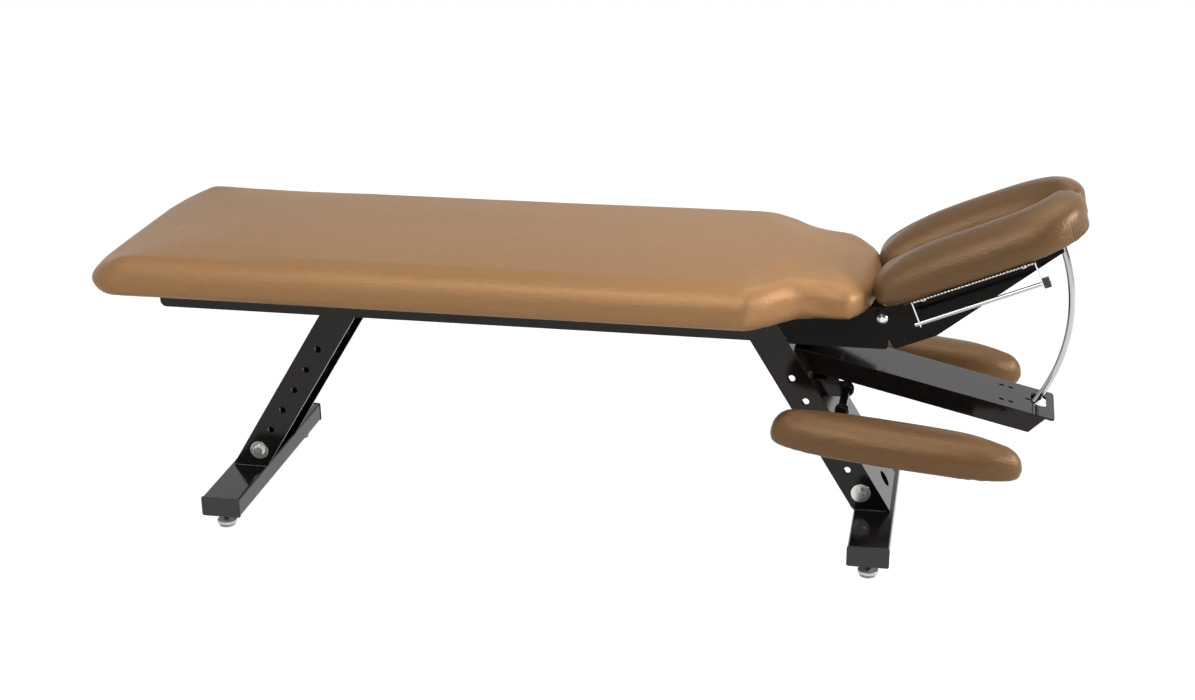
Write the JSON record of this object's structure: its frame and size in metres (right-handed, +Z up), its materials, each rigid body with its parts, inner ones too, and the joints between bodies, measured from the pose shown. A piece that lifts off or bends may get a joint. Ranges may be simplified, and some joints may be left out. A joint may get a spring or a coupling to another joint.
{
  "type": "chiropractic table",
  "caption": "Stationary chiropractic table: long padded body cushion on slanted telescoping legs, tilting split headpiece with face gap, hung arm rests and a paper holder.",
  "frame": {"origin": "on the floor, at the middle of the bounding box's footprint, with the table at its lowest height and its headpiece raised", "axes": "+X along the table towards the head end, +Y to the side away from the paper holder, +Z up"},
  "size_m": [1.8488, 0.572, 0.6994],
  "materials": {
    "vinyl": "bronze tan vinyl-coated upholstery fabric over foam, smooth satin",
    "plywood": "plain plywood",
    "black_paint": "glossy black powder coat on folded steel",
    "black_plastic": "moulded black plastic",
    "leveler": "zinc-plated steel leveling foot with a pale pad",
    "zinc": "zinc-plated steel hardware",
    "chrome": "polished chrome plate"
  },
  "bodies": {
    "frame": {"spine_channel": "black_paint", "spine_end_cap": "black_paint", "neck_plate_l": "black_paint", "neck_plate_r": "black_paint", "body_board": "plywood", "body_cushion": "vinyl", "board_screws": "zinc", "leg_outer_foot": "black_paint", "leg_outer_head": "black_paint", "height_bolt_foot": "zinc", "height_bolt_head": "zinc", "head_beam": "black_paint", "arc_guide": "black_plastic", "lock_pin": "zinc", "lock_spring": "zinc", "pivot_bolt_l": "zinc", "pivot_bolt_r": "zinc", "pivot_washers": "zinc", "arm_rod_lugs": "black_paint", "arm_rod": "chrome", "arm_rod_collars": "black_paint"},
    "foot_leg": {"leg_inner_foot": "black_paint", "foot_bar_foot": "black_paint", "bar_caps_foot": "black_plastic", "leveler_nuts_foot": "zinc"},
    "head_leg": {"leg_inner_head": "black_paint", "foot_bar_head": "black_paint", "bar_caps_head": "black_plastic", "leveler_nuts_head": "zinc"},
    "leveler_foot_l": {"leveler_foot_l": "leveler"},
    "leveler_foot_r": {"leveler_foot_r": "leveler"},
    "leveler_head_l": {"leveler_head_l": "leveler"},
    "leveler_head_r": {"leveler_head_r": "leveler"},
    "headpiece": {"head_plate_l": "black_paint", "head_plate_r": "black_paint", "head_straps": "black_paint", "head_board_l": "plywood", "head_board_r": "plywood", "head_cushion_l": "vinyl", "head_cushion_r": "vinyl", "head_screws": "zinc", "arc_bar": "chrome", "arc_stop": "zinc", "paper_bracket": "chrome", "paper_screws": "zinc"},
    "arm_rest_l": {"arm_bracket_l": "black_paint", "arm_board_l": "plywood", "arm_cushion_l": "vinyl", "arm_screws_l": "zinc"},
    "arm_rest_r": {"arm_bracket_r": "black_paint", "arm_board_r": "plywood", "arm_cushion_r": "vinyl", "arm_screws_r": "zinc"},
    "paper_rod": {"paper_rod": "chrome"},
    "paper_knob": {"paper_knob": "zinc"},
    "lock_lever": {"lock_lever": "black_paint"}
  },
  "joints": [
    {"name": "foot_leg_height", "type": "slide", "parent": "frame", "child": "foot_leg", "axis": [-0.5201, 0, -0.8541], "range_m": [0, 0.262]},
    {"name": "head_leg_height", "type": "slide", "parent": "frame", "child": "head_leg", "axis": [0.5201, 0, -0.8541], "range_m": [0, 0.262]},
    {"name": "leveler_foot_l_screw", "type": "slide", "parent": "foot_leg", "child": "leveler_foot_l", "axis": [0, 0, -1], "range_m": [0, 0.02]},
    {"name": "leveler_foot_r_screw", "type": "slide", "parent": "foot_leg", "child": "leveler_foot_r", "axis": [0, 0, -1], "range_m": [0, 0.02]},
    {"name": "leveler_head_l_screw", "type": "slide", "parent": "head_leg", "child": "leveler_head_l", "axis": [0, 0, -1], "range_m": [0, 0.02]},
    {"name": "leveler_head_r_screw", "type": "slide", "parent": "head_leg", "child": "leveler_head_r", "axis": [0, 0, -1], "range_m": [0, 0.02]},
    {"name": "head_tilt", "type": "hinge", "parent": "frame", "child": "headpiece", "pos_m": [0.5596, 0, 0.458], "axis": [0, 1, 0], "range_deg": [0, 45]},
    {"name": "arm_rest_l_tilt", "type": "hinge", "parent": "frame", "child": "arm_rest_l", "pos_m": [0.4966, 0.232, 0.302], "axis": [0, 1, 0], "range_deg": [-15, 20]},
    {"name": "arm_rest_r_tilt", "type": "hinge", "parent": "frame", "child": "arm_rest_r", "pos_m": [0.4966, -0.232, 0.302], "axis": [0, 1, 0], "range_deg": [-15, 20]},
    {"name": "paper_rod_slide", "type": "slide", "parent": "headpiece", "child": "paper_rod", "axis": [0.9239, 0, 0.3827], "range_m": [0, 0.23]},
    {"name": "paper_knob_turn", "type": "hinge", "parent": "paper_rod", "child": "paper_knob", "pos_m": [0.84454, -0.138, 0.55925], "axis": [0.9239, 0, 0.3827], "continuous": true},
    {"name": "lock_lever_lift", "type": "hinge", "parent": "frame", "child": "lock_lever", "pos_m": [0.78647, 0, 0.27736], "axis": [0, -1, 0], "range_deg": [0, 4], "stiffness_Nm_per_rad": 0.3, "springref_deg": -17.19}
  ]
}
